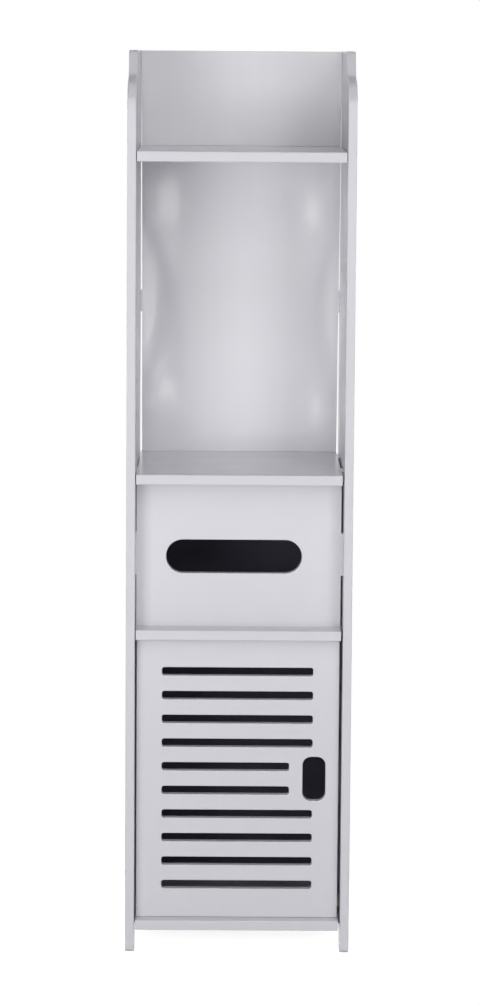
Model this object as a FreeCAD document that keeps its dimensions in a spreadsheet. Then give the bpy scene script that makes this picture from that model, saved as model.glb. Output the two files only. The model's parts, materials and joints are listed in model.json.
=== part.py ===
import FreeCAD, Part
import os
import Sketcher

# Bathroom shelf unit of foamed-plastic boards joined by tabs in slots.
# Frame: +Z up, the front faces -Y, +X is to the right seen from the front.
# The origin is on the floor, under the middle of the unit. All sizes are in millimetres.

# Driving sizes: name and value. The note beside each says what it measures.
SIZES = (
    # Boards
    ("overall_width", 200.0),  # between the outer faces of the two sides
    ("overall_depth", 200.0),  # front edge to rear edge of a side
    ("side_board", 8.0),  # thickness of a side panel
    ("shelf_board", 9.0),  # thickness of a shelf
    ("front_board", 8.0),  # thickness of the tissue front and of the door
    ("back_board", 4.0),  # thickness of a back panel
    ("edge_round", 1.0),  # softened edges of the boards
    ("slot_edge_round", 0.6),  # softened edges of the openings in the fronts
    ("corner_flat", 0.15),  # least straight edge left beside a rounded corner of an opening
    # Clear heights, from the floor up
    ("leg_clearance", 20.0),  # floor to the underside of the bottom board
    ("cupboard_height", 253.5),  # bottom board to lower shelf
    ("tissue_height", 129.5),  # lower shelf to middle shelf
    ("open_height", 274.0),  # middle shelf to top shelf
    ("tray_height", 87.0),  # top shelf to the top of the sides
    # Outline of a side panel
    ("shoulder_drop", 22.0),  # top of the side down to the foot of the riser
    ("shoulder_setback", 44.0),  # front edge back to the foot of the riser
    ("riser_lean", 16.0),  # top of the riser behind its foot
    ("ledge_fall", 5.5),  # foot of the riser down to the head of the slope
    ("slope_depth", 12.0),  # front edge back to the head of the slope
    ("slope_drop", 15.5),  # head of the slope down to its foot in the front edge
    ("slope_head_radius", 25.0),
    ("slope_foot_radius", 12.0),
    ("throat_radius", 12.0),  # hollow corner between ledge and riser
    ("crown_radius", 9.0),  # rounded front corner of the top
    ("leg_depth", 35.0),  # front to back length of a foot
    ("arch_height", 9.0),  # cut-away between the feet
    ("arch_radius", 7.0),  # upper corners of the cut-away
    # Foot pads
    ("pad_height", 2.5),
    ("pad_length", 29.0),
    ("pad_inset", 3.0),  # from the end of the foot to the pad
    ("pad_corner", 2.0),
    # Tabs and slots
    ("tab_clearance", 0.15),  # all round a tab in its slot
    ("tab_recess", 0.2),  # end of a tab below the outer face of the side
    ("shelf_tab_width", 30.0),
    ("shelf_tab_inset", 30.0),  # front or rear edge of a side to the nearer tab
    ("shelf_setback", 1.0),  # front edge of a shelf behind the sides' front edges
    ("shelf_left_gap", 0.8),  # left shoulder of a shelf to the side panel
    ("shelf_right_gap", 1.7),
    ("top_shelf_end_gap", 0.6),  # either shoulder of the top shelf to the side panel
    # Back panels
    ("back_inset", 11.0),  # rear edge of a side to the rear face of the backs
    ("back_side_gap", 1.8),
    ("tray_back_side_gap", 0.5),
    ("back_tab_height", 20.0),
    ("back_tab_rise", 3.0),  # middle of a tab above the middle of its panel
    ("tray_back_drop", 0.3),  # top of the tray's back below the top of the sides
    # Tissue front
    ("tissue_recess", 27.0),  # front edge of a side to the front face of the panel
    ("tissue_left_gap", 0.6),
    ("tissue_right_gap", 1.6),
    ("tissue_tab_height", 38.0),
    ("tissue_slot_height", 30.0),
    ("tissue_slot_left_margin", 26.4),  # left shoulder of the panel to the slot
    ("tissue_slot_right_margin", 34.8),  # slot to the right shoulder of the panel
    ("tissue_slot_drop", 2.2),  # slot's middle below the panel's middle
    # Door
    ("door_recess", 14.0),  # front edge of a side to the front face of the door
    ("door_left_gap", 1.4),
    ("door_right_gap", 2.3),
    ("door_foot_gap", 0.15),
    ("door_head_gap", 1.5),
    ("louvre_rise", 0.675),  # middle of the slots and the finger hole above the middle of the door
    ("louvre_pitch", 21.5),
    ("louvre_height", 7.5),
    ("louvre_left_margin", 22.6),  # left edge of the door to the slots
    ("louvre_right_margin", 23.2),  # long slots to the right edge of the door
    ("louvre_finger_gap", 12.0),  # the two short slots to the finger hole
    ("louvre_corner", 2.2),
    ("finger_width", 20.5),
    ("finger_height", 40.0),
    ("finger_corner", 7.6),
    ("finger_margin", 11.5),  # right edge of the door to the finger hole
    # Pivot pins of the door
    ("pivot_inset", 9.0),  # left edge of the door to the pivot axis
    ("journal_radius", 3.0),
    ("journal_clearance", 0.06),  # running fit in the shelf
    ("journal_floor", 3.0),  # board left beyond the pivot hole
    ("journal_end_clearance", 0.1),  # end of a journal to the bottom of its hole
    ("tang_radius", 2.5),
    ("tang_length", 12.0),
    ("tang_clearance", 0.03),
    # Magnetic catch under the lower shelf
    ("catch_width", 28.0),
    ("catch_depth", 14.0),
    ("catch_height", 12.0),
    ("catch_margin", 4.0),  # right side panel to the nearer ear
    ("ear_width", 9.0),
    ("ear_thickness", 3.0),
    ("magnet_width", 22.0),
    ("magnet_depth", 10.0),
    ("magnet_height", 4.0),
    ("pole_thickness", 1.2),
    ("pole_reach", 0.8),  # pole plates in front of the housing
    ("catch_fit", 0.1),  # clearance round the magnet and plates
    # Strike plate on the door
    ("strike_width", 28.0),
    ("strike_height", 8.0),
    ("strike_thickness", 1.2),
    ("strike_gap", 0.3),  # strike plate to pole plates with the door shut
    # Screws
    ("screw_radius", 1.4),
    ("screw_clearance", 0.05),
    ("screw_floor", 2.5),  # board left beyond a screw's point
    ("screw_head_radius", 2.7),
    ("screw_head_height", 1.6),
    ("screw_slot_width", 0.7),
    ("screw_slot_depth", 0.8),
)

# Numbers closer than this are the same place, and less volume than this is none.
TOUCH = 1e-4

# Slots in the door, from the top: True is a long one.
LOUVRE_ROWS = (True, True, True, True, False, False, True, True, True, True)

doc = FreeCAD.newDocument("bathroom_shelf_unit")
sheet = doc.addObject("Spreadsheet::Sheet", "sizes")


class Size:
    """A length that holds both its number and the sheet formula that gives it."""

    def __init__(self, number, formula):
        self.number = number
        self.formula = formula

    def join(self, other, sign, number):
        return Size(number, f"({self.formula} {sign} {as_size(other).formula})")

    def __add__(self, other):
        return self.join(other, "+", self.number + as_size(other).number)

    def __sub__(self, other):
        return self.join(other, "-", self.number - as_size(other).number)

    def __mul__(self, factor):
        return self.join(factor, "*", self.number * factor)

    def __truediv__(self, divisor):
        return self.join(divisor, "/", self.number / divisor)

    def __neg__(self):
        return Size(-self.number, f"(-{self.formula})")


def as_size(value):
    """The value itself if it is a Size, or a plain number as one."""
    if isinstance(value, Size):
        return value
    return Size(float(value), str(float(value)))


def corner_radius(wanted, opening):
    """The wanted radius, or as much of it as the width of an opening has room for."""
    room = opening / 2 - S["corner_flat"]
    return Size(min(wanted.number, room.number), f"min({wanted.formula}; {room.formula})")


def fill_sheet():
    """Writes the driving sizes into the sheet and returns each one by name."""
    known = {}
    for row, (name, value) in enumerate(SIZES, start=1):
        sheet.set(f"A{row}", name)
        sheet.set(f"B{row}", str(value))
        sheet.setAlias(f"B{row}", name)
        known[name] = Size(value, f"sizes.{name}")
    doc.recompute()
    return known


S = fill_sheet()
NOTHING = as_size(0)

# Planes and levels that the pieces share
HALF_WIDTH = S["overall_width"] / 2
INNER_HALF = HALF_WIDTH - S["side_board"]
FRONT = -(S["overall_depth"] / 2)
REAR = S["overall_depth"] / 2
BOTTOM_LEVEL = S["leg_clearance"]
LOWER_LEVEL = BOTTOM_LEVEL + S["shelf_board"] + S["cupboard_height"]
MIDDLE_LEVEL = LOWER_LEVEL + S["shelf_board"] + S["tissue_height"]
TOP_LEVEL = MIDDLE_LEVEL + S["shelf_board"] + S["open_height"]
CROWN_LEVEL = TOP_LEVEL + S["shelf_board"] + S["tray_height"]
BACK_REAR = REAR - S["back_inset"]
BACK_FRONT = BACK_REAR - S["back_board"]
TAB_REACH = HALF_WIDTH - S["tab_recess"]
SHELF_FRONT = FRONT + S["shelf_setback"]
TISSUE_FRONT = FRONT + S["tissue_recess"]
DOOR_FRONT = FRONT + S["door_recess"]
DOOR_REAR = DOOR_FRONT + S["front_board"]
DOOR_LEFT = S["door_left_gap"] - INNER_HALF
DOOR_RIGHT = INNER_HALF - S["door_right_gap"]
DOOR_FOOT = BOTTOM_LEVEL + S["shelf_board"] + S["door_foot_gap"]
DOOR_HEIGHT = S["cupboard_height"] - S["door_foot_gap"] - S["door_head_gap"]
LOUVRE_MIDDLE = DOOR_HEIGHT / 2 + S["louvre_rise"]
PIVOT_X = DOOR_LEFT + S["pivot_inset"]
PIVOT_Y = DOOR_FRONT + S["front_board"] / 2
JOURNAL_DEPTH = S["shelf_board"] - S["journal_floor"]
CATCH_X = INNER_HALF - S["catch_margin"] - S["ear_width"] - S["catch_width"] / 2
POLE_FRONT = DOOR_REAR + S["strike_thickness"] + S["strike_gap"]
CATCH_FRONT = POLE_FRONT + S["pole_reach"]
CATCH_MIDDLE = LOWER_LEVEL - S["catch_height"] / 2
SHELF_TABS = (
    (FRONT + S["shelf_tab_inset"], FRONT + S["shelf_tab_inset"] + S["shelf_tab_width"]),
    (REAR - S["shelf_tab_inset"] - S["shelf_tab_width"], REAR - S["shelf_tab_inset"]),
)
EAR_REACH = S["catch_width"] / 2 + S["ear_width"] / 2
SCREW_PLACES = (CATCH_X - EAR_REACH, CATCH_X + EAR_REACH)
SCREW_Y = CATCH_FRONT + S["catch_depth"] / 2


# Building steps that the pieces share


def bind(target, name, size):
    """Ties one property of an object to the sheet."""
    target.setExpression(name, size.formula)


def place(target, x=NOTHING, y=NOTHING, z=NOTHING):
    """Ties an object's place to the sheet."""
    bind(target, "Placement.Base.x", x)
    bind(target, "Placement.Base.y", y)
    bind(target, "Placement.Base.z", z)


def rectangle(low_x, high_x, low_y, high_y):
    """Corners of an upright rectangle, counter-clockwise."""
    return [(low_x, low_y), (high_x, low_y), (high_x, high_y), (low_x, high_y)]


def new_sketch(body, role, name, height=NOTHING):
    """Sketch on one of the body's own planes, raised along the plane's normal."""
    plane = next(item for item in body.Origin.OriginFeatures if item.Role == role)
    sketch = body.newObject("Sketcher::SketchObject", name)
    sketch.AttachmentSupport = (plane, [""])
    sketch.MapMode = "FlatFace"
    bind(sketch, "AttachmentOffset.Base.z", height)
    return sketch


def pin_point(sketch, geometry, point, x, y):
    """Fixes one point of a sketch at a place that the sheet gives."""
    for kind, size in (("DistanceX", x), ("DistanceY", y)):
        rule = Sketcher.Constraint(kind, -1, 1, geometry, point, size.number)
        number = sketch.addConstraint(rule)
        sketch.setExpression(f"Constraints[{number}]", size.formula)


def draw_outlines(sketch, outlines):
    """Draws closed outlines of straight edges, every corner fixed by the sheet."""
    for corners in outlines:
        first = sketch.GeometryCount
        count = len(corners)
        for i in range(count):
            ends = (corners[i], corners[(i + 1) % count])
            points = [FreeCAD.Vector(x.number, y.number, 0) for x, y in ends]
            sketch.addGeometry(Part.LineSegment(*points))
        joints = [
            Sketcher.Constraint("Coincident", first + i, 2, first + (i + 1) % count, 1)
            for i in range(count)
        ]
        sketch.addConstraint(joints)
        for i, (x, y) in enumerate(corners):
            pin_point(sketch, first + i, 1, x, y)


def board(name, role, outline, thickness):
    """A flat board: its outline on one of its own planes, padded towards +X, +Y or +Z."""
    body = doc.addObject("PartDesign::Body", name)
    sketch = new_sketch(body, role, f"{name}_outline")
    draw_outlines(sketch, [outline])
    pad = body.newObject("PartDesign::Pad", f"{name}_pad")
    pad.Profile = sketch
    pad.Reversed = role == "XZ_Plane"
    bind(pad, "Length", thickness)
    doc.recompute()
    return body


def cut(body, sketch, name, depth, forward):
    """Cuts a sketch into the body, along its plane's normal or against it, to a depth or right through."""
    before = body.Shape.Volume
    pocket = body.newObject("PartDesign::Pocket", name)
    pocket.Profile = sketch
    pocket.Reversed = forward
    if depth is None:
        pocket.Type = "ThroughAll"
    else:
        bind(pocket, "Length", depth)
    doc.recompute()
    if body.Shape.Volume > before - TOUCH:
        raise RuntimeError(f"{name} removed nothing")


def cut_openings(body, role, name, outlines):
    """Cuts openings right through a board from the plane that it was padded from."""
    sketch = new_sketch(body, role, f"{name}_outlines")
    draw_outlines(sketch, outlines)
    cut(body, sketch, name, None, role != "XZ_Plane")


def bore(body, role, name, centre, radius, depth, height, forward):
    """Drills a blind round hole from a plane at the given height along its normal."""
    sketch = new_sketch(body, role, f"{name}_circle", height)
    circle = Part.Circle(FreeCAD.Vector(centre[0].number, centre[1].number, 0),
                         FreeCAD.Vector(0, 0, 1), radius.number)
    sketch.addGeometry(circle)
    pin_point(sketch, 0, 3, *centre)
    number = sketch.addConstraint(Sketcher.Constraint("Radius", 0, radius.number))
    sketch.setExpression(f"Constraints[{number}]", radius.formula)
    cut(body, sketch, name, depth, forward)


def round_edges(body, name, radius, chosen):
    """Rounds the edges of a board that the test chooses by their middle and their box."""
    base = body.Tip
    edges = []
    for number, edge in enumerate(base.Shape.Edges, start=1):
        middle = edge.valueAt((edge.FirstParameter + edge.LastParameter) / 2)
        if chosen(middle, edge.BoundBox):
            edges.append(f"Edge{number}")
    fillet = body.newObject("PartDesign::Fillet", name)
    fillet.Base = (base, edges)
    bind(fillet, "Radius", radius)
    doc.recompute()


def near(first, second):
    """True where two numbers are the same place."""
    return abs(first - second) < TOUCH


def round_corners(body, name, radius, axis, corners):
    """Rounds the edges along one axis that stand on the given corners of an outline."""
    across = [letter for letter in "xyz" if letter != axis]
    wanted = [(x.number, y.number) for x, y in corners]

    def on_corner(middle, box):
        spans = {"x": box.XLength, "y": box.YLength, "z": box.ZLength}
        if any(spans[letter] > TOUCH for letter in across):
            return False
        spot = [getattr(middle, letter) for letter in across]
        return any(near(spot[0], x) and near(spot[1], y) for x, y in wanted)

    round_edges(body, name, radius, on_corner)


def block(name, width, depth, height, x, y, z):
    """A plain block from its low corner."""
    solid = doc.addObject("Part::Box", name)
    bind(solid, "Length", width)
    bind(solid, "Width", depth)
    bind(solid, "Height", height)
    place(solid, x, y, z)
    return solid


def round_bar(name, radius, height, x, y, z):
    """An upright round bar from the middle of its foot."""
    solid = doc.addObject("Part::Cylinder", name)
    bind(solid, "Radius", radius)
    bind(solid, "Height", height)
    place(solid, x, y, z)
    return solid


def fuse(name, solids):
    """Several solids as one piece."""
    whole = doc.addObject("Part::MultiFuse", name)
    whole.Shapes = solids
    whole.Refine = True
    return whole


def subtract(name, base, tool):
    """One solid with another taken out of it."""
    rest = doc.addObject("Part::Cut", name)
    rest.Base = base
    rest.Tool = tool
    return rest


def group(name, solids):
    """Separate solids that share one node."""
    whole = doc.addObject("Part::Compound", name)
    whole.Links = solids
    return whole


# Side panels


def widened(low, high):
    """A span with the tab's clearance added at both ends."""
    return low - S["tab_clearance"], high + S["tab_clearance"]


def centred(middle, length):
    """The two ends of a span of that length about its middle."""
    return middle - length / 2, middle + length / 2


# Each back panel: the level that it stands on, the clear height there and the gap at its sides
BACK_SPANS = {
    "cupboard_back_panel": (BOTTOM_LEVEL + S["shelf_board"], S["cupboard_height"], S["back_side_gap"]),
    "tissue_back_panel": (LOWER_LEVEL + S["shelf_board"], S["tissue_height"], S["back_side_gap"]),
    "compartment_back_panel": (MIDDLE_LEVEL + S["shelf_board"], S["open_height"], S["back_side_gap"]),
    "tray_back_panel": (TOP_LEVEL + S["shelf_board"], S["tray_height"] - S["tray_back_drop"],
                        S["tray_back_side_gap"]),
}


def side_slots():
    """Outlines of the slots in a side panel, in its depth and height."""
    slots = []
    for level in (BOTTOM_LEVEL, LOWER_LEVEL, MIDDLE_LEVEL, TOP_LEVEL):
        for near_end, far_end in SHELF_TABS:
            slots.append((near_end, far_end, level, level + S["shelf_board"]))
    for floor, height, _ in BACK_SPANS.values():
        low, high = centred(floor + height / 2 + S["back_tab_rise"], S["back_tab_height"])
        slots.append((BACK_FRONT, BACK_REAR, low, high))
    middle = LOWER_LEVEL + S["shelf_board"] + S["tissue_height"] / 2
    low, high = centred(middle, S["tissue_tab_height"])
    slots.append((TISSUE_FRONT, TISSUE_FRONT + S["front_board"], low, high))
    return [rectangle(*widened(a, b), *widened(c, d)) for a, b, c, d in slots]


def side_panel(name, x):
    """A side: stepped at the top front with a rounded slope, cut away between its two feet."""
    foot = S["pad_height"]
    riser_foot = (FRONT + S["shoulder_setback"], CROWN_LEVEL - S["shoulder_drop"])
    riser_head = (riser_foot[0] + S["riser_lean"], CROWN_LEVEL)
    slope_head = (FRONT + S["slope_depth"], riser_foot[1] - S["ledge_fall"])
    slope_foot = (FRONT, slope_head[1] - S["slope_drop"])
    arch_front = FRONT + S["leg_depth"]
    arch_rear = REAR - S["leg_depth"]
    arch_top = foot + S["arch_height"]
    outline = [
        (FRONT, foot), (arch_front, foot), (arch_front, arch_top), (arch_rear, arch_top),
        (arch_rear, foot), (REAR, foot), (REAR, CROWN_LEVEL), riser_head, riser_foot, slope_head, slope_foot,
    ]
    body = board(name, "YZ_Plane", outline, S["side_board"])
    rounds = (
        ("slope_head", S["slope_head_radius"], [slope_head]),
        ("slope_foot", S["slope_foot_radius"], [slope_foot]),
        ("throat", S["throat_radius"], [riser_foot]),
        ("crown", S["crown_radius"], [riser_head]),
        ("arch", S["arch_radius"], [(arch_front, arch_top), (arch_rear, arch_top)]),
    )
    for part_name, radius, corners in rounds:
        round_corners(body, f"{name}_{part_name}", radius, "x", corners)
    faces = (0, S["side_board"].number)
    round_edges(
        body, f"{name}_edges", S["edge_round"],
        lambda middle, box: box.XLength < TOUCH and any(near(box.XMin, x) for x in faces)
        and box.ZMax > arch_top.number + TOUCH)
    cut_openings(body, "YZ_Plane", f"{name}_slots", side_slots())
    place(body, x=x)
    return body


left_side = side_panel("left_side_panel", -HALF_WIDTH)
right_side = side_panel("right_side_panel", INNER_HALF)


# Shelves


def shelf_end(shoulder, tab_end):
    """Outline of one end of a shelf, from its front corner round both tabs to its rear corner."""
    outline = [(shoulder, SHELF_FRONT)]
    for near_end, far_end in SHELF_TABS:
        outline += [(shoulder, near_end), (tab_end, near_end), (tab_end, far_end), (shoulder, far_end)]
    return outline + [(shoulder, BACK_REAR)]


def shelf(name, level, left_gap, right_gap):
    """A shelf with two tabs at each end, its front edge softened above and below."""
    right_end = shelf_end(INNER_HALF - right_gap, TAB_REACH)
    left_end = shelf_end(left_gap - INNER_HALF, -TAB_REACH)
    body = board(name, "XY_Plane", right_end + left_end[::-1], S["shelf_board"])
    round_edges(
        body, f"{name}_front_edges", S["edge_round"],
        lambda middle, box: near(box.YMax, SHELF_FRONT.number) and box.ZLength < TOUCH)
    place(body, z=level)
    return body


top_shelf = shelf("top_shelf", TOP_LEVEL, S["top_shelf_end_gap"], S["top_shelf_end_gap"])
middle_shelf = shelf("middle_shelf", MIDDLE_LEVEL, S["shelf_left_gap"], S["shelf_right_gap"])
lower_shelf = shelf("lower_shelf", LOWER_LEVEL, S["shelf_left_gap"], S["shelf_right_gap"])
bottom_board = shelf("bottom_board", BOTTOM_LEVEL, S["shelf_left_gap"], S["shelf_right_gap"])

# The door's two pivot holes, and the holes for the screws of the catch
pivot_hole_radius = S["journal_radius"] + S["journal_clearance"]
screw_hole_radius = S["screw_radius"] + S["screw_clearance"]
screw_hole_depth = S["shelf_board"] - S["screw_floor"] + S["screw_clearance"]
bore(bottom_board, "XY_Plane", "bottom_pivot_hole", (PIVOT_X, PIVOT_Y), pivot_hole_radius,
     JOURNAL_DEPTH, S["shelf_board"], forward=False)
bore(lower_shelf, "XY_Plane", "lower_shelf_pivot_hole", (PIVOT_X, PIVOT_Y), pivot_hole_radius,
     JOURNAL_DEPTH, NOTHING, forward=True)
for number, screw_x in enumerate(SCREW_PLACES, start=1):
    bore(lower_shelf, "XY_Plane", f"catch_screw_hole_{number}", (screw_x, SCREW_Y),
         screw_hole_radius, screw_hole_depth, NOTHING, forward=True)


# Upright panels


def tabbed_panel(name, left, right, height, tab_height, tab_rise, thickness):
    """An upright panel with one tab near the middle of each side, standing on its own foot line."""
    tab_low, tab_high = centred((height + S["tab_clearance"]) / 2 + tab_rise, tab_height)
    outline = [
        (right, NOTHING), (right, tab_low), (TAB_REACH, tab_low), (TAB_REACH, tab_high),
        (right, tab_high), (right, height), (left, height), (left, tab_high),
        (-TAB_REACH, tab_high), (-TAB_REACH, tab_low), (left, tab_low), (left, NOTHING),
    ]
    return board(name, "XZ_Plane", outline, thickness)


back_panels = []
for back_name, (floor, clear_height, side_gap) in BACK_SPANS.items():
    back = tabbed_panel(back_name, side_gap - INNER_HALF, INNER_HALF - side_gap,
                        clear_height - S["tab_clearance"], S["back_tab_height"], S["back_tab_rise"],
                        S["back_board"])
    place(back, y=BACK_FRONT, z=floor)
    back_panels.append(back)


def on_front_face(middle, box):
    """True for an edge that lies in a board's own front face."""
    return box.YMax < TOUCH


tissue_left = S["tissue_left_gap"] - INNER_HALF
tissue_right = INNER_HALF - S["tissue_right_gap"]
tissue_front = tabbed_panel("tissue_front_panel", tissue_left, tissue_right,
                            S["tissue_height"] - S["tab_clearance"], S["tissue_tab_height"], NOTHING,
                            S["front_board"])
tissue_slot = rectangle(
    tissue_left + S["tissue_slot_left_margin"], tissue_right - S["tissue_slot_right_margin"],
    *centred(S["tissue_height"] / 2 - S["tissue_slot_drop"], S["tissue_slot_height"]))
cut_openings(tissue_front, "XZ_Plane", "tissue_slot", [tissue_slot])
round_corners(tissue_front, "tissue_slot_ends",
              corner_radius(S["tissue_slot_height"], S["tissue_slot_height"]), "y", tissue_slot)
(slot_left, slot_low), (slot_right, slot_high) = tissue_slot[0], tissue_slot[2]
round_edges(tissue_front, "tissue_slot_lip", S["slot_edge_round"],
            lambda middle, box: on_front_face(middle, box)
            and slot_left.number - TOUCH < middle.x < slot_right.number + TOUCH
            and slot_low.number - TOUCH < middle.z < slot_high.number + TOUCH)
place(tissue_front, y=TISSUE_FRONT, z=LOWER_LEVEL + S["shelf_board"])


# Door


finger_right = DOOR_RIGHT - S["finger_margin"]
finger_left = finger_right - S["finger_width"]


def louvre_slots():
    """Outlines of the slots, spread evenly about their own middle height."""
    left = DOOR_LEFT + S["louvre_left_margin"]
    slots = []
    for row, is_long in enumerate(LOUVRE_ROWS):
        steps = (len(LOUVRE_ROWS) - 1) / 2 - row
        right = DOOR_RIGHT - S["louvre_right_margin"] if is_long else finger_left - S["louvre_finger_gap"]
        middle = LOUVRE_MIDDLE + S["louvre_pitch"] * steps
        slots.append(rectangle(left, right, *centred(middle, S["louvre_height"])))
    return slots


door = board("louvred_door", "XZ_Plane", rectangle(DOOR_LEFT, DOOR_RIGHT, NOTHING, DOOR_HEIGHT),
             S["front_board"])
louvres = louvre_slots()
cut_openings(door, "XZ_Plane", "louvres", louvres)
round_corners(door, "louvre_corners", corner_radius(S["louvre_corner"], S["louvre_height"]), "y",
              [corner for slot in louvres for corner in slot])
finger_hole = rectangle(finger_left, finger_right, *centred(LOUVRE_MIDDLE, S["finger_height"]))
cut_openings(door, "XZ_Plane", "finger_hole", [finger_hole])
round_corners(door, "finger_hole_corners", corner_radius(S["finger_corner"], S["finger_width"]), "y",
              finger_hole)
round_edges(door, "door_front_edges", S["slot_edge_round"], on_front_face)
tang_hole_radius = S["tang_radius"] + S["tang_clearance"]
tang_hole_depth = S["tang_length"] + S["tang_clearance"]
tang_centre = (PIVOT_X, S["front_board"] / 2)
bore(door, "XY_Plane", "lower_tang_hole", tang_centre, tang_hole_radius, tang_hole_depth,
     NOTHING, forward=True)
bore(door, "XY_Plane", "upper_tang_hole", tang_centre, tang_hole_radius, tang_hole_depth,
     DOOR_HEIGHT, forward=False)
strike_middle = CATCH_MIDDLE - DOOR_FOOT
bore(door, "XZ_Plane", "strike_screw_hole", (CATCH_X, strike_middle), screw_hole_radius,
     S["front_board"] - S["screw_floor"] + S["screw_clearance"], -S["front_board"], forward=True)
place(door, y=DOOR_FRONT, z=DOOR_FOOT)


# Pivot pins


def pivot_pin(name, journal_foot, journal_length, tang_foot):
    """A pin with a tang for the door and a thicker journal that turns in the shelf."""
    return fuse(name, [
        round_bar(f"{name}_journal", S["journal_radius"], journal_length, PIVOT_X, PIVOT_Y, journal_foot),
        round_bar(f"{name}_tang", S["tang_radius"], S["tang_length"], PIVOT_X, PIVOT_Y, tang_foot),
    ])


door_head = DOOR_FOOT + DOOR_HEIGHT
journal_reach = JOURNAL_DEPTH - S["journal_end_clearance"]
lower_journal = journal_reach + S["door_foot_gap"]
lower_pin = pivot_pin("lower_pivot_pin", DOOR_FOOT - lower_journal, lower_journal, DOOR_FOOT)
upper_pin = pivot_pin("upper_pivot_pin", door_head, journal_reach + S["door_head_gap"],
                      door_head - S["tang_length"])


# Magnetic catch

catch_low = LOWER_LEVEL - S["catch_height"]
catch_left = CATCH_X - S["catch_width"] / 2
stack_height = S["magnet_height"] + S["pole_thickness"] * 2 + S["catch_fit"] * 4
cavity_depth = S["magnet_depth"] + S["catch_fit"]
pole_left = CATCH_X - S["magnet_width"] / 2
ears = block("catch_ears", S["catch_width"] + S["ear_width"] * 2, S["catch_depth"], S["ear_thickness"],
             catch_left - S["ear_width"], CATCH_FRONT, LOWER_LEVEL - S["ear_thickness"])
case = block("catch_case", S["catch_width"], S["catch_depth"], S["catch_height"],
             catch_left, CATCH_FRONT, catch_low)
cavity = block("catch_cavity", S["magnet_width"] + S["catch_fit"] * 2, cavity_depth, stack_height,
               pole_left - S["catch_fit"], CATCH_FRONT, CATCH_MIDDLE - stack_height / 2)
screw_holes = [
    round_bar(f"catch_ear_hole_{number}", screw_hole_radius, S["ear_thickness"], screw_x, SCREW_Y,
              LOWER_LEVEL - S["ear_thickness"])
    for number, screw_x in enumerate(SCREW_PLACES, start=1)
]
catch_housing = subtract("catch_housing", fuse("catch_blank", [ears, case]),
                         fuse("catch_openings", [cavity] + screw_holes))

magnet_low = CATCH_MIDDLE - S["magnet_height"] / 2
catch_magnet = block("catch_magnet", S["magnet_width"], S["magnet_depth"], S["magnet_height"],
                     pole_left, CATCH_FRONT, magnet_low)
pole_lows = (
    magnet_low - S["catch_fit"] - S["pole_thickness"],
    magnet_low + S["magnet_height"] + S["catch_fit"],
)
catch_poles = group("catch_pole_plates", [
    block(f"pole_plate_{number}", S["magnet_width"], S["magnet_depth"] + S["pole_reach"],
          S["pole_thickness"], pole_left, POLE_FRONT, pole_low)
    for number, pole_low in enumerate(pole_lows, start=1)
])


def catch_screw(name, x):
    """A pan-head screw from below through an ear into the shelf, with a straight slot in its head."""
    head_top = LOWER_LEVEL - S["ear_thickness"]
    head_low = head_top - S["screw_head_height"]
    shank_length = S["ear_thickness"] + S["shelf_board"] - S["screw_floor"]
    head = round_bar(f"{name}_head", S["screw_head_radius"], S["screw_head_height"], x, SCREW_Y, head_low)
    shank = round_bar(f"{name}_shank", S["screw_radius"], shank_length, x, SCREW_Y, head_top)
    slot = block(f"{name}_slot", S["screw_head_radius"] * 2, S["screw_slot_width"], S["screw_slot_depth"],
                 x - S["screw_head_radius"], SCREW_Y - S["screw_slot_width"] / 2, head_low)
    return subtract(name, fuse(f"{name}_blank", [head, shank]), slot)


catch_screws = group("catch_screws", [
    catch_screw(f"catch_screw_{number}", screw_x) for number, screw_x in enumerate(SCREW_PLACES, start=1)
])


# Strike plate and its countersunk screw


def lying_cone(name, rear_radius, front_radius, length, rear):
    """A round cone or bar whose axis runs to the front, from its rear end."""
    solid = doc.addObject("Part::Cone", name)
    bind(solid, "Radius1", rear_radius)
    bind(solid, "Radius2", front_radius)
    bind(solid, "Height", length)
    solid.Placement.Rotation = FreeCAD.Rotation(FreeCAD.Vector(1, 0, 0), 90)
    place(solid, CATCH_X, rear, CATCH_MIDDLE)
    return solid


strike_rear = DOOR_REAR + S["strike_thickness"]
plate = block("strike_blank", S["strike_width"], S["strike_thickness"], S["strike_height"],
              CATCH_X - S["strike_width"] / 2, DOOR_REAR, CATCH_MIDDLE - S["strike_height"] / 2)
countersink = lying_cone("strike_countersink", S["screw_head_radius"] + S["screw_clearance"],
                         screw_hole_radius, S["strike_thickness"], strike_rear)
strike_plate = subtract("strike_plate", plate, countersink)
strike_head = lying_cone("strike_screw_head", S["screw_head_radius"], S["screw_radius"],
                         S["strike_thickness"], strike_rear)
strike_shank = doc.addObject("Part::Cylinder", "strike_screw_shank")
bind(strike_shank, "Radius", S["screw_radius"])
bind(strike_shank, "Height", S["front_board"] - S["screw_floor"])
strike_shank.Placement.Rotation = FreeCAD.Rotation(FreeCAD.Vector(1, 0, 0), 90)
place(strike_shank, CATCH_X, DOOR_REAR, CATCH_MIDDLE)
strike_slot = block("strike_screw_slot", S["screw_head_radius"] * 2, S["screw_slot_depth"],
                    S["screw_slot_width"], CATCH_X - S["screw_head_radius"],
                    strike_rear - S["screw_slot_depth"], CATCH_MIDDLE - S["screw_slot_width"] / 2)
strike_screw = subtract("strike_screw", fuse("strike_screw_blank", [strike_head, strike_shank]), strike_slot)


# Foot pads


def foot_pad(name, x, y):
    """A pad under one foot, as wide as the side board, with rounded upright corners."""
    outline = rectangle(NOTHING, S["side_board"], NOTHING, S["pad_length"])
    body = board(name, "XY_Plane", outline, S["pad_height"])
    round_corners(body, f"{name}_corners", S["pad_corner"], "z", outline)
    place(body, x, y)
    return body


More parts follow.
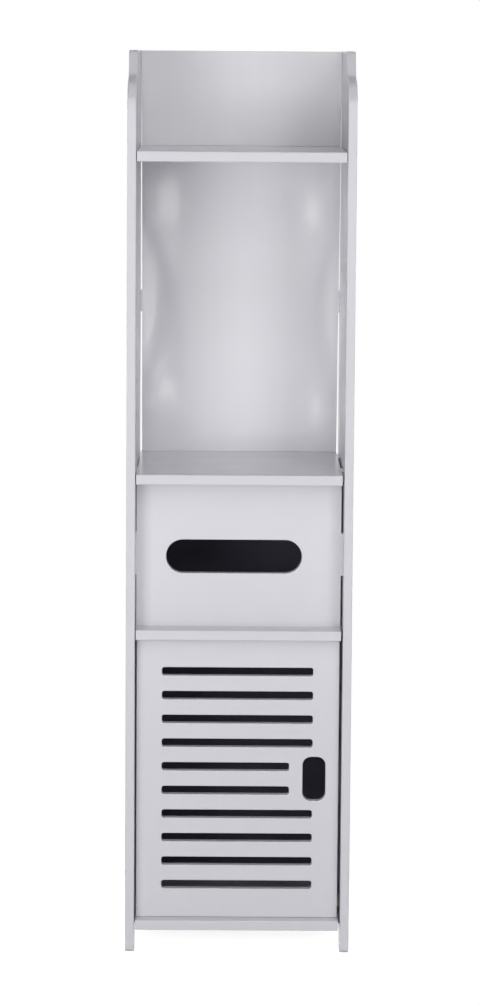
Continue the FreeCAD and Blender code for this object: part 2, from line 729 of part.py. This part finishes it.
pad_places = {"front": FRONT + S["pad_inset"], "rear": REAR - S["pad_inset"] - S["pad_length"]}
foot_pads = [
    foot_pad(f"{end}_{side}_foot_pad", x, y)
    for end, y in pad_places.items()
    for side, x in (("left", -HALF_WIDTH), ("right", INNER_HALF))
]


# Check and write

SUB_PARTS = [
    left_side, right_side, top_shelf, middle_shelf, lower_shelf, bottom_board, *back_panels,
    tissue_front, door, upper_pin, lower_pin, catch_housing, catch_magnet, catch_poles, catch_screws,
    strike_plate, strike_screw, *foot_pads,
]

doc.recompute()
for item in doc.Objects:
    if "Invalid" in item.State or "Error" in item.State:
        raise RuntimeError(f"{item.Label} did not compute: {item.State}")
for item in SUB_PARTS:
    if item.Shape.isNull() or not item.Shape.isValid():
        raise RuntimeError(f"{item.Label} has no valid shape")

os.makedirs("parts", exist_ok=True)
for item in SUB_PARTS:
    item.Shape.exportStep(f"parts/{item.Label}.step")
    box = item.Shape.BoundBox
    print(f"{item.Label}: {len(item.Shape.Solids)} solid, {item.Shape.Volume:.0f} mm3, "
          f"x {box.XMin:.2f} to {box.XMax:.2f}, y {box.YMin:.2f} to {box.YMax:.2f}, "
          f"z {box.ZMin:.2f} to {box.ZMax:.2f}")
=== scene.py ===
import json
import math

import bpy
import numpy as np
from mathutils import Matrix, Vector


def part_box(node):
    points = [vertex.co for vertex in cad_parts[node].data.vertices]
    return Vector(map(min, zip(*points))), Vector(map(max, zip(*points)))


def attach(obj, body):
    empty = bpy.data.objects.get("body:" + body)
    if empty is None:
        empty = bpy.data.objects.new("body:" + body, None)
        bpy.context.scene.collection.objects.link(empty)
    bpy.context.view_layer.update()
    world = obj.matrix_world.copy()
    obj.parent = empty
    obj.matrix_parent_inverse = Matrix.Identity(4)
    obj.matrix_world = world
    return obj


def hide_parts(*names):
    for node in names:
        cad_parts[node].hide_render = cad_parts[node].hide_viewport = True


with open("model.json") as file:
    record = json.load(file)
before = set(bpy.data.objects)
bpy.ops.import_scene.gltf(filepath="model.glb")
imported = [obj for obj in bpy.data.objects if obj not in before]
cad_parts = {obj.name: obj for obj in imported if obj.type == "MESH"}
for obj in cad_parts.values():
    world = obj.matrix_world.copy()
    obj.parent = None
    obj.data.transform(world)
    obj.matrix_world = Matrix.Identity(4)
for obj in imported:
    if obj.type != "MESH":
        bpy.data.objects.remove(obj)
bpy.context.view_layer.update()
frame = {"nodes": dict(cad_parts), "record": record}
MM = 0.001

# The picture's camera, level with the top tray and tipped a little down
CAMERA_PLACE = Vector((-0.0158, -3.153, 0.803))
CAMERA_PITCH = math.radians(7.40)  # below the level
CAMERA_YAW = math.radians(0.30)  # towards +X
CAMERA_ROLL = math.radians(0.40)
CAMERA_SIGHT = 50  # metres to the furthest thing drawn
LENS_MM = 125.53
SENSOR_MM = 36.0  # along the picture's longer side

# Back sheets
SHEET_STEP = 2.0 * MM  # spacing of the modelled grid
SHEET_EDGE = 0.35 * MM  # width of the softened rim
SHEET_EDGE_STEPS = 2
SHEET_EDGE_ANGLE = math.radians(60)  # only sharper corners are softened
SMOOTH_ANGLE = math.radians(40)  # gentler bends are shaded as curves


# Meshes


def new_piece(name, points, faces, materials, face_materials=None):
    """Makes a mesh object at the origin from whole arrays of points and quads."""
    mesh = bpy.data.meshes.new(name)
    mesh.from_pydata(points, [], faces)
    for material in materials:
        mesh.materials.append(material)
    if face_materials is not None:
        mesh.polygons.foreach_set("material_index", face_materials)
    mesh.polygons.foreach_set("use_smooth", np.ones(len(faces), bool))
    mesh.set_sharp_from_angle(angle=SMOOTH_ANGLE)
    mesh.validate()
    piece = bpy.data.objects.new(name, mesh)
    bpy.context.scene.collection.objects.link(piece)
    return piece


def spaced(*stops):
    """Grid lines that pass through every stop, no further apart than the sheet's step."""
    runs = []
    for low, high in zip(stops, stops[1:]):
        count = max(1, math.ceil((high - low) / SHEET_STEP))
        runs.append(np.linspace(low, high, count + 1)[:-1])
    return np.concatenate(runs + [[stops[-1]]])


def sheet_faces(present):
    """
    Quads of a sheet that fills the marked cells of a grid: one in front and one behind for each cell,
    and one across the rim wherever a cell has no neighbour. The rear points follow the front ones.
    Also gives the kind of each face: 0 in front, 1 behind or on the rim.
    """
    rows, columns = present.shape
    number = np.arange((rows + 1) * (columns + 1)).reshape(rows + 1, columns + 1)
    behind = number.size
    a, b, c, d = number[:-1, :-1], number[:-1, 1:], number[1:, 1:], number[1:, :-1]
    padded = np.pad(present, 1)
    front = np.stack([a, b, c, d], -1)[present]
    rear = np.stack([d, c, b, a], -1)[present] + behind
    rims = []
    for start, end, neighbour in (
        (a, b, padded[:-2, 1:-1]), (b, c, padded[1:-1, 2:]),
        (c, d, padded[2:, 1:-1]), (d, a, padded[1:-1, :-2]),
    ):
        bare = present & ~neighbour
        rims.append(np.stack([end, start, start + behind, end + behind], -1)[bare])
    rim = np.concatenate(rims)
    kinds = np.concatenate([np.zeros(len(front), int), np.ones(len(rear) + len(rim), int)])
    return np.concatenate([front, rear, rim]), kinds


def back_sheet(node, materials, dents=(), spread=(0, 0)):
    """
    A thin back panel with its two tabs, on a grid across and up. Its depth at a point is the node's own
    front plane plus a sum of soft dents. Each dent is a bell: push x exp(-(across/width)^2 - (up/height)^2).
    Across is measured from a line that bends out to the edge with the square of the height, so the sheet is
    as gently buckled as one that only two tabs hold. The sheet is cut out of square: its left and right edges
    move out evenly with height, by the spread at the top. Dents and spread die out across the gap beside the
    sheet, so that the tabs lie flat in their slots.
    """
    corners = np.array([vertex.co for vertex in frame["nodes"][node].data.vertices])
    low, high = corners.min(0), corners.max(0)
    shoulder = np.abs(corners[:, 0][np.isclose(corners[:, 2], low[2], atol=0.1 * MM)]).max()
    tab_heights = corners[:, 2][np.abs(corners[:, 0]) > shoulder + MM]
    tab_low, tab_high = tab_heights.min(), tab_heights.max()
    tab_middle = (tab_low + tab_high) / 2
    across = spaced(low[0], -shoulder, shoulder, high[0])
    up = spaced(low[2], tab_low, tab_high, high[2])
    x, z = np.meshgrid(across, up)
    depth = np.full_like(x, low[1])
    inner_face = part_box("right_side_panel")[0].x
    free = np.clip((inner_face - np.abs(x)) / (inner_face - shoulder), 0, 1)
    for side, inset, rise, width, height, push, bend in dents:
        lift = (z - tab_middle - rise * MM) / (height * MM)
        line = (inset - bend * lift ** 2) * MM - shoulder
        offset = (side * x - line) / (width * MM)
        depth += free * push * MM * np.exp(-offset ** 2 - lift ** 2)
    climb = (z - low[2]) / (high[2] - low[2])
    x = x + free * climb * MM * np.where(x < 0, spread[0], spread[1]) * x / shoulder
    cell_x = (across[:-1] + across[1:]) / 2
    cell_z = (up[:-1] + up[1:]) / 2
    on_tab = (cell_z > tab_low) & (cell_z < tab_high)
    present = (np.abs(cell_x) < shoulder)[None, :] | on_tab[:, None]
    faces, kinds = sheet_faces(present)
    thickness = high[1] - low[1]
    front_points = np.stack([x, depth, z], -1).reshape(-1, 3)
    points = np.concatenate([front_points, front_points + [0, thickness, 0]])
    used, faces = np.unique(faces, return_inverse=True)
    faces = faces.reshape(-1, 4)
    piece = new_piece(f"{node}_sheet", points[used], faces, materials, kinds % len(materials))
    bevel = piece.modifiers.new("softened_rim", "BEVEL")
    bevel.width = SHEET_EDGE
    bevel.segments = SHEET_EDGE_STEPS
    bevel.limit_method = "ANGLE"
    bevel.angle_limit = SHEET_EDGE_ANGLE
    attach(piece, "carcass")
    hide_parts(node)


# Materials


def linear(code):
    """Linear colour, with an alpha of one, of an sRGB hex code such as #D6D5DB."""
    share = np.array([int(code[i:i + 2], 16) for i in (1, 3, 5)]) / 255
    value = np.where(share <= 0.04045, share / 12.92, ((share + 0.055) / 1.055) ** 2.4)
    return (*value.tolist(), 1.0)


def shaded(code, factor):
    """A colour a little lighter or darker than the code's own."""
    red, green, blue, alpha = linear(code)
    return (red * factor, green * factor, blue * factor, alpha)


def per_metre(millimetres):
    """A texture's scale for features that are so many millimetres across."""
    return 1 / (millimetres * MM)


def add(tree, kind, inputs=(), **settings):
    """Adds a node with its settings. An input is a plain value, or another node's output to link."""
    made = tree.nodes.new(kind)
    for name, value in settings.items():
        setattr(made, name, value)
    for name, value in dict(inputs).items():
        if isinstance(value, bpy.types.NodeSocket):
            tree.links.new(value, made.inputs[name])
        else:
            made.inputs[name].default_value = value
    return made


def new_material(name):
    """An empty node material: its tree and its Principled shader, linked to the output."""
    material = bpy.data.materials.new(name)
    material.use_nodes = True
    tree = material.node_tree
    tree.nodes.clear()
    shader = add(tree, "ShaderNodeBsdfPrincipled")
    add(tree, "ShaderNodeOutputMaterial", {"Surface": shader.outputs[0]})
    return material, tree, shader


def foam_board(name, colour, flat_axis, long_axis):
    """
    Foamed PVC board. Its two skins are satin, with a fine orange peel and faint lines along the way it was
    extruded. Its sawn edges, where the surface faces away from the thickness, are duller and show foam cells.
    """
    line_width, line_length, cloud_size, peel_size, cell_size = 1.8, 400, 40, 0.9, 0.4  # millimetres
    material, tree, shader = new_material(name)
    spot = add(tree, "ShaderNodeTexCoord")
    place = spot.outputs["Object"]
    stretch = [per_metre(line_width)] * 3
    stretch[long_axis] = per_metre(line_length)
    along = add(tree, "ShaderNodeMapping", {"Vector": place, "Scale": stretch})
    lines = add(tree, "ShaderNodeTexNoise", {"Vector": along.outputs[0], "Scale": 1.0, "Detail": 2.0})
    clouds = add(tree, "ShaderNodeTexNoise", {"Vector": place, "Scale": per_metre(cloud_size), "Detail": 2.0})
    peel = add(tree, "ShaderNodeTexNoise", {"Vector": place, "Scale": per_metre(peel_size), "Detail": 1.0})
    cells = add(tree, "ShaderNodeTexVoronoi", {"Vector": place, "Scale": per_metre(cell_size)})
    facing = add(tree, "ShaderNodeVectorMath", {0: spot.outputs["Normal"]}, operation="ABSOLUTE")
    split = add(tree, "ShaderNodeSeparateXYZ", {0: facing.outputs[0]})
    sawn = add(tree, "ShaderNodeMapRange", {
        "Value": split.outputs[flat_axis], "From Min": 0.35, "From Max": 0.6, "To Min": 1.0, "To Max": 0.0})
    drift = add(tree, "ShaderNodeMath", {
        0: clouds.outputs["Fac"], 1: lines.outputs["Fac"]}, operation="MULTIPLY")
    skin = add(tree, "ShaderNodeMix", {
        0: drift.outputs[0], 6: shaded(colour, 0.985), 7: shaded(colour, 1.03)}, data_type="RGBA")
    core = add(tree, "ShaderNodeMix", {
        0: cells.outputs["Distance"], 6: linear(colour), 7: shaded(colour, 0.94)}, data_type="RGBA")
    tint = add(tree, "ShaderNodeMix", {
        0: sawn.outputs[0], 6: skin.outputs[2], 7: core.outputs[2]}, data_type="RGBA")
    gloss = add(tree, "ShaderNodeMapRange", {"Value": clouds.outputs["Fac"], "To Min": 0.16, "To Max": 0.22})
    dull = add(tree, "ShaderNodeMath", {
        0: sawn.outputs[0], 1: 0.22, 2: gloss.outputs[0]}, operation="MULTIPLY_ADD")
    pits = add(tree, "ShaderNodeMath", {
        0: sawn.outputs[0], 1: cells.outputs["Distance"]}, operation="MULTIPLY")
    ripple = add(tree, "ShaderNodeBump", {"Height": peel.outputs["Fac"], "Distance": 0.006 * MM})
    relief = add(tree, "ShaderNodeBump", {
        "Height": pits.outputs[0], "Distance": 0.03 * MM, "Normal": ripple.outputs[0]}, invert=True)
    tree.links.new(tint.outputs[2], shader.inputs["Base Color"])
    tree.links.new(dull.outputs[0], shader.inputs["Roughness"])
    tree.links.new(relief.outputs[0], shader.inputs["Normal"])
    return material


def calendered_sheet(name, colour, roughness, specular):
    """
    Thin PVC sheet rolled smooth: glossier than the boards, with broad soft streaks up the sheet in its shade
    and its gloss, and a very shallow waviness.
    """
    streak_width, streak_length, wave_size = 9, 260, 14  # millimetres
    material, tree, shader = new_material(name)
    place = add(tree, "ShaderNodeTexCoord").outputs["Object"]
    stretch = (per_metre(streak_width), per_metre(streak_width), per_metre(streak_length))
    along = add(tree, "ShaderNodeMapping", {"Vector": place, "Scale": stretch})
    streaks = add(tree, "ShaderNodeTexNoise", {"Vector": along.outputs[0], "Scale": 1.0, "Detail": 3.0})
    waves = add(tree, "ShaderNodeTexNoise", {"Vector": place, "Scale": per_metre(wave_size), "Detail": 1.0})
    tint = add(tree, "ShaderNodeMix", {
        0: streaks.outputs["Fac"], 6: shaded(colour, 0.985), 7: shaded(colour, 1.015)}, data_type="RGBA")
    gloss = add(tree, "ShaderNodeMapRange", {
        "Value": streaks.outputs["Fac"], "To Min": roughness - 0.04, "To Max": roughness + 0.04})
    relief = add(tree, "ShaderNodeBump", {"Height": waves.outputs["Fac"], "Distance": 0.02 * MM})
    tree.links.new(tint.outputs[2], shader.inputs["Base Color"])
    tree.links.new(gloss.outputs[0], shader.inputs["Roughness"])
    tree.links.new(relief.outputs[0], shader.inputs["Normal"])
    shader.inputs["Specular IOR Level"].default_value = specular
    return material


def moulded_plastic(name, colour, roughness, grain):
    """Injection-moulded plastic: the fine even grain of an eroded mould, and a slight cloudiness."""
    cloud_size = 6  # millimetres, as the grain is
    material, tree, shader = new_material(name)
    place = add(tree, "ShaderNodeTexCoord").outputs["Object"]
    texture = add(tree, "ShaderNodeTexNoise", {"Vector": place, "Scale": per_metre(grain), "Detail": 2.0})
    cloud = add(tree, "ShaderNodeTexNoise", {"Vector": place, "Scale": per_metre(cloud_size), "Detail": 2.0})
    tint = add(tree, "ShaderNodeMix", {
        0: cloud.outputs["Fac"], 6: shaded(colour, 0.95), 7: shaded(colour, 1.03)}, data_type="RGBA")
    gloss = add(tree, "ShaderNodeMapRange", {
        "Value": texture.outputs["Fac"], "To Min": roughness - 0.06, "To Max": roughness + 0.06})
    relief = add(tree, "ShaderNodeBump", {"Height": texture.outputs["Fac"], "Distance": 0.02 * MM})
    tree.links.new(tint.outputs[2], shader.inputs["Base Color"])
    tree.links.new(gloss.outputs[0], shader.inputs["Roughness"])
    tree.links.new(relief.outputs[0], shader.inputs["Normal"])
    return material


def granular(name, colour, roughness, grain, depth):
    """
    A dull body of packed grains or cells, so many millimetres across: each has its own shade and stands a
    little proud of its seams, by the depth.
    """
    material, tree, shader = new_material(name)
    place = add(tree, "ShaderNodeTexCoord").outputs["Object"]
    grains = add(tree, "ShaderNodeTexVoronoi", {"Vector": place, "Scale": per_metre(grain)})
    shade = add(tree, "ShaderNodeSeparateXYZ", {0: grains.outputs["Color"]})
    tint = add(tree, "ShaderNodeMix", {
        0: shade.outputs[0], 6: shaded(colour, 0.88), 7: shaded(colour, 1.08)}, data_type="RGBA")
    relief = add(tree, "ShaderNodeBump", {
        "Height": grains.outputs["Distance"], "Distance": depth * MM}, invert=True)
    tree.links.new(tint.outputs[2], shader.inputs["Base Color"])
    tree.links.new(relief.outputs[0], shader.inputs["Normal"])
    shader.inputs["Roughness"].default_value = roughness
    return material


def plated_steel(name, colour):
    """Rolled steel with bright zinc: fine rolling lines across it and blotches of duller plating."""
    line_width, line_length, blotch_size = 0.15, 25, 2.5  # millimetres
    material, tree, shader = new_material(name)
    place = add(tree, "ShaderNodeTexCoord").outputs["Object"]
    stretch = (per_metre(line_length), per_metre(line_width), per_metre(line_width))
    along = add(tree, "ShaderNodeMapping", {"Vector": place, "Scale": stretch})
    lines = add(tree, "ShaderNodeTexNoise", {"Vector": along.outputs[0], "Scale": 1.0, "Detail": 2.0})
    blotches = add(tree, "ShaderNodeTexNoise", {
        "Vector": place, "Scale": per_metre(blotch_size), "Detail": 3.0})
    tint = add(tree, "ShaderNodeMix", {
        0: blotches.outputs["Fac"], 6: shaded(colour, 0.9), 7: shaded(colour, 1.05)}, data_type="RGBA")
    gloss = add(tree, "ShaderNodeMapRange", {"Value": blotches.outputs["Fac"], "To Min": 0.22, "To Max": 0.4})
    relief = add(tree, "ShaderNodeBump", {"Height": lines.outputs["Fac"], "Distance": 0.004 * MM})
    tree.links.new(tint.outputs[2], shader.inputs["Base Color"])
    tree.links.new(gloss.outputs[0], shader.inputs["Roughness"])
    tree.links.new(relief.outputs[0], shader.inputs["Normal"])
    shader.inputs["Metallic"].default_value = 1.0
    return material


BOARD_WHITE = "#D3D2D8"
sheet_white = calendered_sheet("pvc_sheet_calendered", "#E5E4E8", 0.20, 0.5)
# Painted shade: a dark, matte face that stands in for the shadow inside the closed tissue box and cupboard,
# seen through the slots
painted_shade_sheet = calendered_sheet("painted_shade_face", "#5A5866", 0.80, 0.03)
SLOT_MATERIALS = {
    "back_sheet": sheet_white,
    "pin_plastic": moulded_plastic("nylon_moulded_natural", "#E4E1D8", 0.38, 0.5),
    "catch_plastic": moulded_plastic("abs_moulded_white", "#E6E6E6", 0.42, 0.35),
    "magnet": granular("ferrite_sintered", "#2C2C30", 0.6, 0.25, 0.01),
    "plated_steel": plated_steel("steel_zinc_plated", "#C9CCD0"),
    "pad_rubber": granular("eva_foam_pale", "#CFCFD1", 0.85, 0.6, 0.06),
}


def dress_nodes():
    """Gives each carried-over node the finish of its slot. A board's finish follows the way that it lies."""
    boards = {}
    for row in frame["record"]["subparts"]:
        node = frame["nodes"][row["node"]]
        slot = row["material_slot"]
        if slot == "foam_board":
            low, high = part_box(row["node"])
            size = list(high - low)
            lie = (size.index(min(size)), size.index(max(size)))
            if lie not in boards:
                axes = "_".join("xyz"[axis] for axis in lie)
                boards[lie] = foam_board(f"foamed_pvc_board_{axes}", BOARD_WHITE, *lie)
            node.data.materials[0] = boards[lie]
        else:
            node.data.materials[0] = SLOT_MATERIALS[slot]


# Dents in millimetres: the edge they lie along (1 left, -1 right), inset from it, rise above the middle of
# the tab, width, height, push backwards, and how far the line of the dent bends out to the edge
COMPARTMENT_DENTS = [
    (1, 15, 2, 10, 80, 2.5, 20),
    (1, 19, 2, 22, 85, 1.4, 20),
    (1, 6, 86, 24, 44, -6.6, 0),
    (1, 6, -88, 22, 38, -5.7, 0),
    (-1, 13, -10, 9, 75, 1.0, 15),
    (-1, 17, -10, 22, 80, 0.9, 15),
    (-1, 7, 82, 22, 44, -3.3, 0),
    (-1, 10, 82, 60, 60, -3.0, 0),
    (-1, 6, -100, 18, 34, -3.0, 0),
]
# How far the upper corners stand out at the left and the right, in millimetres
TRAY_SPREAD = (0.4, 0.4)
COMPARTMENT_SPREAD = (0.9, 1.3)

dress_nodes()
back_sheet("tray_back_panel", [sheet_white], spread=TRAY_SPREAD)
back_sheet("compartment_back_panel", [sheet_white], COMPARTMENT_DENTS, COMPARTMENT_SPREAD)
# The tissue and cupboard backs carry the painted shade on the faces towards the inside of the boxes, and the
# white sheet behind and on the rim
back_sheet("tissue_back_panel", [painted_shade_sheet, sheet_white])
back_sheet("cupboard_back_panel", [painted_shade_sheet, sheet_white])


# Stage

WHITE = (1, 1, 1, 1)
FLOOR_PAINT = (0.85, 0.85, 0.85, 1)
FLOOR_GLOW = 0.78  # leaves the shadow a little below white
FLOOR_SHADOW_REACH = 0.10  # metres from the middle
FLOOR_WHITE_REACH = 0.24
FLOOR_HALF_WIDTH = 4.0
LIT_POINT = Vector((0, 0, 0.42))
# Each lamp: degrees to the right of the front, metres out in plan, metres above the floor, width, height and
# power in watts
LAMPS = {
    "left_low": (-22, 1.7, 0.5, 0.5, 0.5, 7.9),
    "right_strip": (22, 1.7, 0.85, 0.4, 1.2, 6.2),
    "front_high": (0, 1.7, 2.0, 0.5, 0.5, 5.3),
    "front_middle": (0, 1.7, 1.1, 1.2, 0.8, 4.0),
    "front_low": (0, 1.7, 0.2, 1.3, 0.4, 2.2),
    "right_high": (34, 1.7, 2.4, 0.5, 0.5, 4.0),
    "right_rear": (122, 1.7, 0.5, 1.2, 1.2, 16),
    "left_rear": (-122, 1.7, 0.5, 1.2, 1.2, 16),
    "above": (180, 0.25, 2.4, 0.5, 0.5, 3),
}


def seen_ray(tree):
    """A factor that is one for rays from the camera, from a mirror or through glass."""
    path = add(tree, "ShaderNodeLightPath")
    either = add(tree, "ShaderNodeMath", {
        0: path.outputs["Is Camera Ray"], 1: path.outputs["Is Glossy Ray"]}, operation="MAXIMUM")
    any_of = add(tree, "ShaderNodeMath", {
        0: either.outputs[0], 1: path.outputs["Is Transmission Ray"]}, operation="MAXIMUM")
    return any_of.outputs[0]


def white_world():
    """White behind the object, which is seen but gives it no light."""
    world = bpy.data.worlds.new("studio")
    bpy.context.scene.world = world
    world.use_nodes = True
    tree = world.node_tree
    tree.nodes.clear()
    white = add(tree, "ShaderNodeBackground", {"Color": WHITE, "Strength": seen_ray(tree)})
    add(tree, "ShaderNodeOutputWorld", {"Surface": white.outputs[0]})


def white_floor():
    """A pale floor that keeps the object's shadow near its feet and is white further out."""
    material = bpy.data.materials.new("studio_floor")
    material.use_nodes = True
    tree = material.node_tree
    tree.nodes.clear()
    place = add(tree, "ShaderNodeTexCoord").outputs["Object"]
    distance = add(tree, "ShaderNodeVectorMath", {0: place}, operation="LENGTH")
    far = add(tree, "ShaderNodeMapRange", {
        "Value": distance.outputs["Value"], "From Min": FLOOR_SHADOW_REACH, "From Max": FLOOR_WHITE_REACH,
        "To Min": 0.0, "To Max": 1.0}, interpolation_type="SMOOTHSTEP")
    pale = add(tree, "ShaderNodeBsdfDiffuse", {"Color": FLOOR_PAINT})
    glow = add(tree, "ShaderNodeEmission", {"Color": WHITE, "Strength": FLOOR_GLOW})
    both = add(tree, "ShaderNodeAddShader", {0: pale.outputs[0], 1: glow.outputs[0]})
    white = add(tree, "ShaderNodeEmission", {"Color": WHITE, "Strength": 1.0})
    faded = add(tree, "ShaderNodeMixShader", {0: far.outputs[0], 1: both.outputs[0], 2: white.outputs[0]})
    shown = add(tree, "ShaderNodeMixShader", {0: seen_ray(tree), 1: pale.outputs[0], 2: faded.outputs[0]})
    add(tree, "ShaderNodeOutputMaterial", {"Surface": shown.outputs[0]})
    half = FLOOR_HALF_WIDTH
    corners = [(-half, -half, 0), (half, -half, 0), (half, half, 0), (-half, half, 0)]
    floor = new_piece("floor", corners, [(0, 1, 2, 3)], [material])


def soft_lamp(name, place, target, width, height, power):
    """A soft box, so wide and so high, turned to its target."""
    lamp = bpy.data.lights.new(name, "AREA")
    lamp.shape = "RECTANGLE"
    lamp.size = width
    lamp.size_y = height
    lamp.energy = power
    holder = bpy.data.objects.new(name, lamp)
    holder.location = place
    holder.rotation_euler = (target - place).to_track_quat("-Z", "Y").to_euler()
    bpy.context.scene.collection.objects.link(holder)


def picture_camera():
    """The camera: turned about the upright, tipped down, and rolled about its own axis."""
    lens = bpy.data.cameras.new("camera")
    lens.lens = LENS_MM
    lens.sensor_width = SENSOR_MM
    lens.clip_end = CAMERA_SIGHT
    camera = bpy.data.objects.new("camera", lens)
    turned = Matrix.Rotation(-CAMERA_YAW, 4, "Z") @ Matrix.Rotation(math.pi / 2 - CAMERA_PITCH, 4, "X")
    camera.matrix_world = Matrix.Translation(CAMERA_PLACE) @ turned @ Matrix.Rotation(CAMERA_ROLL, 4, "Z")
    bpy.context.scene.collection.objects.link(camera)
    bpy.context.scene.camera = camera


white_world()
white_floor()
for lamp_name, (turn, reach, level, *make) in LAMPS.items():
    angle = math.radians(turn)
    lamp_place = Vector((reach * math.sin(angle), -reach * math.cos(angle), level))
    soft_lamp(lamp_name, lamp_place, LIT_POINT, *make)
picture_camera()
bpy.context.scene.view_settings.view_transform = "Standard"
